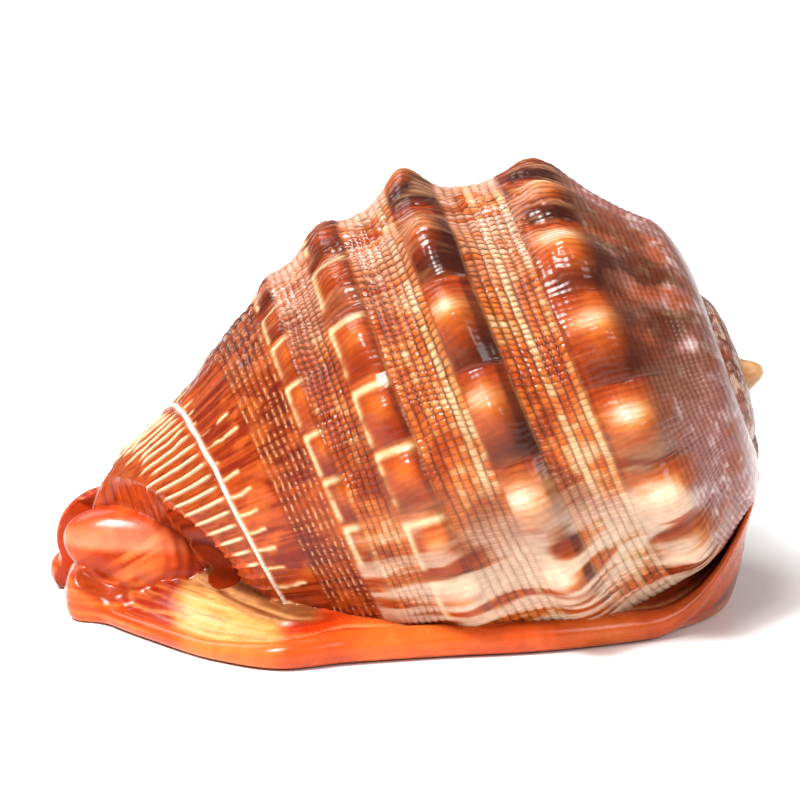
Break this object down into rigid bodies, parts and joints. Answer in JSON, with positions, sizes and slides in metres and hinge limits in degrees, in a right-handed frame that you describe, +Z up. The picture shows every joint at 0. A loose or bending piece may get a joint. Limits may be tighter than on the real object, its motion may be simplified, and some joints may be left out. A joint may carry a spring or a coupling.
{
  "type": "helmet sea shell",
  "caption": "Large glossy spiral sea shell with rows of blunt knobs, a low pointed spire, a broad rolled flange around a slot mouth and a recurved canal.",
  "frame": {"origin": "middle of the shell's bounding box, on the surface it lies on", "axes": "+X towards the spire, -X towards the siphonal canal, +Y towards the outer lip, -Y towards the shield side, +Z up through the back"},
  "size_m": [0.1502, 0.1186, 0.0926],
  "materials": {
    "shell": "glossy, mottled red-brown and cream with an orange flange"
  },
  "bodies": {
    "root": {"shell": "shell"}
  },
  "joints": []
}
